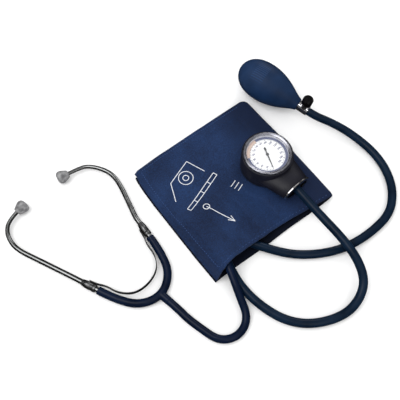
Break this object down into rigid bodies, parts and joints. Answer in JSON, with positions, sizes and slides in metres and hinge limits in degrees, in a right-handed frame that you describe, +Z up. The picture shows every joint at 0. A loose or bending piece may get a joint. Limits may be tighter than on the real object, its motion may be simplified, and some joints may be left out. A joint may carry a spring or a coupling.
{
  "type": "aneroid sphygmomanometer",
  "caption": "Blood pressure set: folded arm cuff, round dial gauge with a hooded neck, squeeze bulb with release valve, hoses, and a stethoscope whose chestpiece lies in the cuff.",
  "frame": {"origin": "centre of the folded cuff's flat underside", "axes": "+Z up, +X along the cuff towards the bulb, -Y towards the edge that the hoses leave"},
  "size_m": [0.3577, 0.2871, 0.0427],
  "materials": {
    "navy_cloth": "woven nylon, matt",
    "dark_cloth": "woven nylon, matt",
    "closing_tape": "hook and loop tape",
    "bladder_rubber": "matt",
    "hose_rubber": "smooth, slightly glossy",
    "scope_rubber": "smooth, slightly glossy",
    "bulb_rubber": "satin",
    "seal_rubber": "matt",
    "tip_rubber": "translucent grey, satin",
    "black_plastic": "fine grained",
    "chrome_plate": "polished",
    "ear_steel": "polished dark chrome",
    "window": "clear",
    "dial_paint": "matt white with printed scale",
    "diaphragm": "thin stiff sheet",
    "pointer_paint": "matt black",
    "knob_metal": "black, knurled edge",
    "movement_brass": "bright",
    "movement_steel": "bright",
    "valve_plastic": "moulded"
  },
  "bodies": {
    "base": {"bladder": "bladder_rubber", "bulb": "bulb_rubber", "bulb_hose": "hose_rubber", "capsule_base": "movement_brass", "chestpiece_body": "chrome_plate", "chestpiece_diaphragm": "diaphragm", "chestpiece_ring": "chrome_plate", "chestpiece_stem": "chrome_plate", "cuff_outer_sheet": "navy_cloth", "cuff_under_sheet": "dark_cloth", "dial_spacer": "black_plastic", "gauge_bezel": "chrome_plate", "gauge_dial": "dial_paint", "gauge_hose": "hose_rubber", "gauge_housing": "black_plastic", "gauge_lens": "window", "gauge_neck_ring": "chrome_plate", "gauge_nipple": "movement_brass", "gland_nut": "chrome_plate", "hairspring": "movement_steel", "hook_strip": "closing_tape", "inlet_pipe": "movement_brass", "inlet_valve_body": "valve_plastic", "inlet_valve_cap": "valve_plastic", "leaf_spring": "ear_steel", "loop_strip": "closing_tape", "movement_base": "movement_brass", "movement_bridge": "movement_brass", "movement_pillars": "movement_brass", "movement_screws": "movement_steel", "outlet_valve_seat": "valve_plastic", "pressure_capsule": "movement_brass", "stethoscope_tube": "scope_rubber", "valve_body": "chrome_plate", "y_tube": "scope_rubber"},
    "seal": {"stem_seal": "seal_rubber"},
    "release": {"release_screw": "movement_steel", "release_knob": "knob_metal"},
    "inlet_disc": {"inlet_valve_disc": "seal_rubber"},
    "outlet_disc": {"outlet_valve_disc": "seal_rubber"},
    "sector": {"sector_gear": "movement_brass"},
    "pointer": {"pinion_arbor": "movement_steel", "gauge_pointer": "pointer_paint"},
    "push_pin": {"capsule_push_pin": "movement_brass"},
    "rocker": {"rocker_arm": "movement_steel"},
    "ear_left": {"ear_tube_left": "ear_steel", "ferrule_left": "ear_steel", "ear_tip_left": "tip_rubber"},
    "ear_right": {"ear_tube_right": "ear_steel", "ferrule_right": "ear_steel", "ear_tip_right": "tip_rubber"}
  },
  "joints": [
    {"name": "sector_swing", "type": "hinge", "parent": "base", "child": "sector", "pos_m": [0.04633, -0.01663, 0.0226], "axis": [0, 0, 1], "range_deg": [0, 40]},
    {"name": "pointer_spin", "type": "hinge", "parent": "base", "child": "pointer", "pos_m": [0.0406, -0.0044, 0.0226], "axis": [0, 0, 1], "range_deg": [-320, 0], "deforming": ["hairspring"]},
    {"name": "capsule_lift", "type": "slide", "parent": "base", "child": "push_pin", "axis": [0, 0, 1], "range_m": [0, 0.0015], "deforming": ["pressure_capsule"]},
    {"name": "rocker_swing", "type": "hinge", "parent": "base", "child": "rocker", "pos_m": [0.044, -0.0044, 0.0173], "axis": [0, 1, 0], "range_deg": [0, 26]},
    {"name": "release_turn", "type": "hinge", "parent": "seal", "child": "release", "pos_m": [0.11632, 0.02278, 0.01418], "axis": [0.043, -0.1324, 0.9903], "range_deg": [0, 540]},
    {"name": "release_lift", "type": "slide", "parent": "base", "child": "seal", "axis": [0.043, -0.1324, 0.9903], "range_m": [0, 0.00075]},
    {"name": "inlet_flap", "type": "slide", "parent": "base", "child": "inlet_disc", "axis": [0.306, -0.9418, -0.1392], "range_m": [0, 0.0008]},
    {"name": "outlet_flap", "type": "slide", "parent": "base", "child": "outlet_disc", "axis": [0.306, -0.9418, -0.1392], "range_m": [0, 0.0008]},
    {"name": "ear_left_spread", "type": "hinge", "parent": "base", "child": "ear_left", "pos_m": [-0.14083, -0.02957, 0.004], "axis": [0, 0, 1], "range_deg": [-6, 22], "stiffness_Nm_per_rad": 0.6, "deforming": ["y_tube", "leaf_spring"]},
    {"name": "ear_right_spread", "type": "hinge", "parent": "base", "child": "ear_right", "pos_m": [-0.11348, -0.02355, 0.004], "axis": [0, 0, -1], "range_deg": [-6, 5], "stiffness_Nm_per_rad": 0.6, "deforming": ["y_tube", "leaf_spring"]}
  ],
  "couplings": [
    {"joint": "pointer_spin", "follows": "sector_swing", "ratio": -8},
    {"joint": "capsule_lift", "follows": "sector_swing", "m_per_rad": 0.00214},
    {"joint": "rocker_swing", "follows": "sector_swing", "ratio": 0.65},
    {"joint": "release_turn", "follows": "release_lift", "rad_per_m": 12566}
  ]
}
